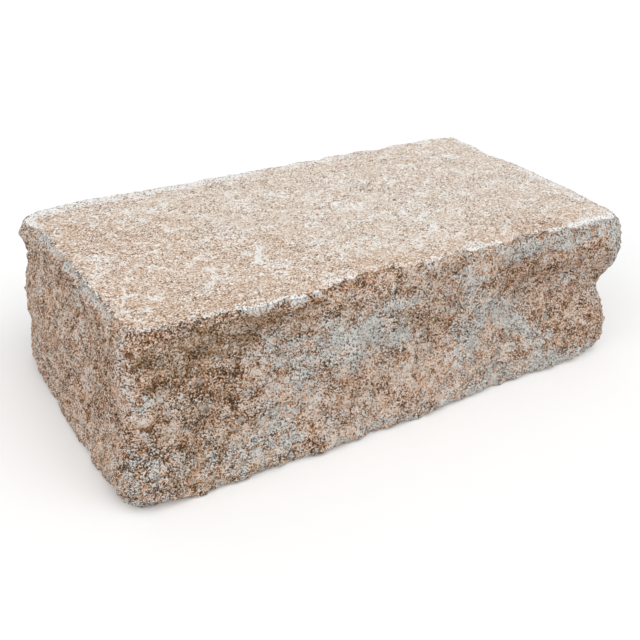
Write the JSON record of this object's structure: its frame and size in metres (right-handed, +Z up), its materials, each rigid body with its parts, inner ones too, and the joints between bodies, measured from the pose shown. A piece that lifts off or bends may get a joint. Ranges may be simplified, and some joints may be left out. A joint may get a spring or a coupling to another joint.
{
  "type": "wall block",
  "caption": "Tumbled split-face concrete wall block: a long low solid block with flat top and base, broken rough sides and worn rims.",
  "frame": {"origin": "middle of the flat base, at the centre of the block's overall plan", "axes": "+X along the block's length, +Z up through the height, and the split front that the picture shows faces -Y"},
  "size_m": [0.4194, 0.2285, 0.12],
  "materials": {
    "concrete": "rough"
  },
  "bodies": {
    "root": {"wall_block": "concrete"}
  },
  "joints": []
}
